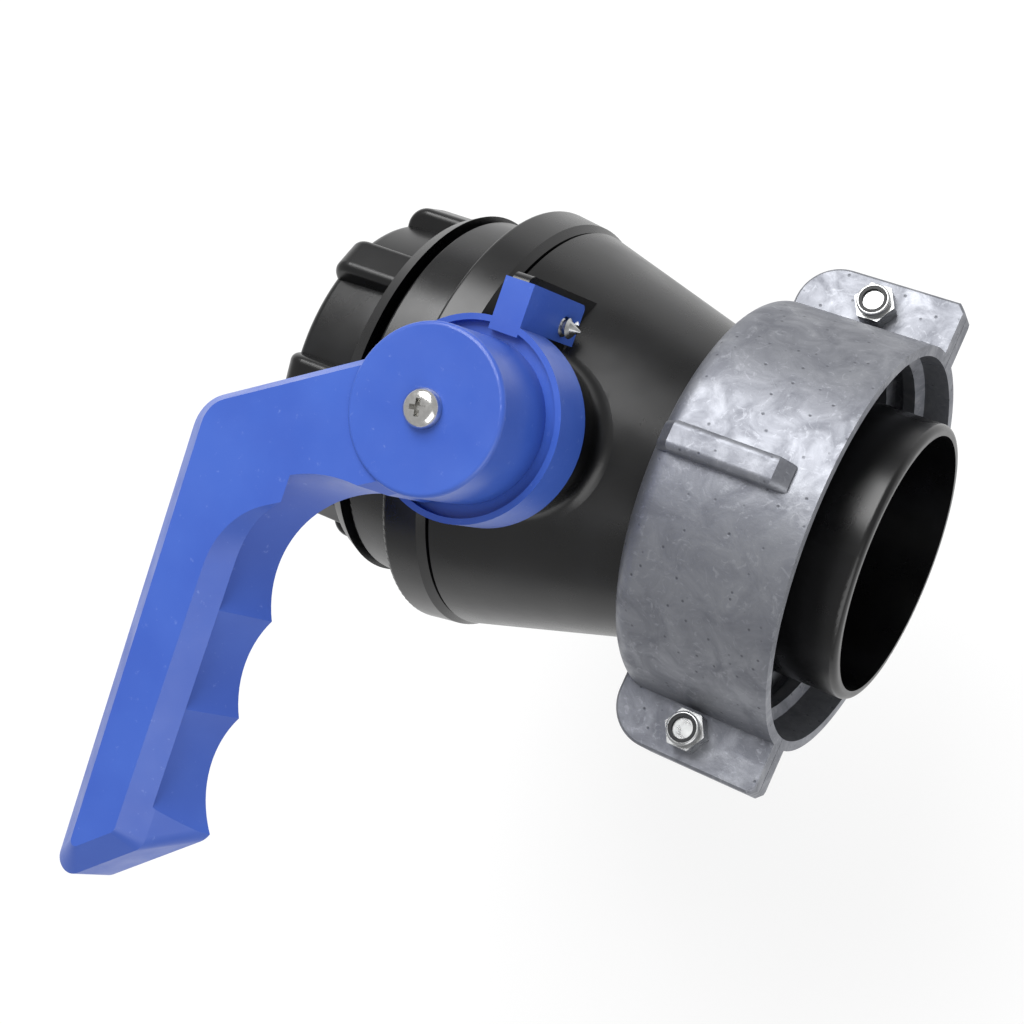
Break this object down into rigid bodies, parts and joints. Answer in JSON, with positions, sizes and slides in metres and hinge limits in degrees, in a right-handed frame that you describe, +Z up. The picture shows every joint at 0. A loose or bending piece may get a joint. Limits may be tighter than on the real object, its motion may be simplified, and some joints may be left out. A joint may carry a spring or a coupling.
{
  "type": "ibc tank valve",
  "caption": "Plastic ball valve for a bulk liquid container, with a cast clamp collar on the tank side, a blue quarter-turn lever and a dust cap on the outlet.",
  "frame": {"origin": "centre of the clamp collar's mouth, on the flow axis", "axes": "+X along the flow axis into the tank, +Z up along the stem towards the lever"},
  "size_m": [0.119, 0.1529, 0.1172],
  "materials": {
    "black_plastic": "gloss",
    "blue_plastic": "satin",
    "cast_aluminium": "as cast",
    "zinc_steel": "plated",
    "chrome_steel": "polished",
    "nylon_black": "matte",
    "seal_rubber": "matte",
    "ptfe": "matte",
    "ball_plastic": "gloss"
  },
  "bodies": {
    "valve": {"valve_body": "black_plastic", "end_connector": "black_plastic", "inlet_seat": "ptfe", "outlet_seat": "ptfe", "body_o_ring": "seal_rubber", "inlet_gasket": "seal_rubber"},
    "lever": {"handle": "blue_plastic", "handle_screw": "chrome_steel", "locking_screw": "zinc_steel", "stem": "black_plastic", "ball": "ball_plastic", "stem_o_ring_lower": "seal_rubber", "stem_o_ring_upper": "seal_rubber", "stem_thrust_washer": "ptfe"},
    "collar": {"collar_half_a": "cast_aluminium", "collar_half_b": "cast_aluminium", "collar_bolts": "zinc_steel", "collar_nuts": "zinc_steel", "nut_inserts": "nylon_black"},
    "cap_carrier": {"cap_liner": "seal_rubber"},
    "cap": {"dust_cap": "black_plastic"}
  },
  "joints": [
    {"name": "handle_turn", "type": "hinge", "parent": "valve", "child": "lever", "pos_m": [-0.0585, 0, 0], "axis": [0, 0, 1], "range_deg": [-90, 0]},
    {"name": "collar_turn", "type": "hinge", "parent": "valve", "child": "collar", "pos_m": [0, 0, 0], "axis": [1, 0, 0], "continuous": true},
    {"name": "cap_lift", "type": "slide", "parent": "valve", "child": "cap_carrier", "axis": [-1, 0, 0], "range_m": [0, 0.0151]},
    {"name": "cap_turn", "type": "hinge", "parent": "cap_carrier", "child": "cap", "pos_m": [-0.112, 0, 0], "axis": [-1, 0, 0], "range_deg": [0, 900]}
  ],
  "couplings": [
    {"joint": "cap_lift", "follows": "cap_turn", "m_per_rad": 0.00095493}
  ]
}
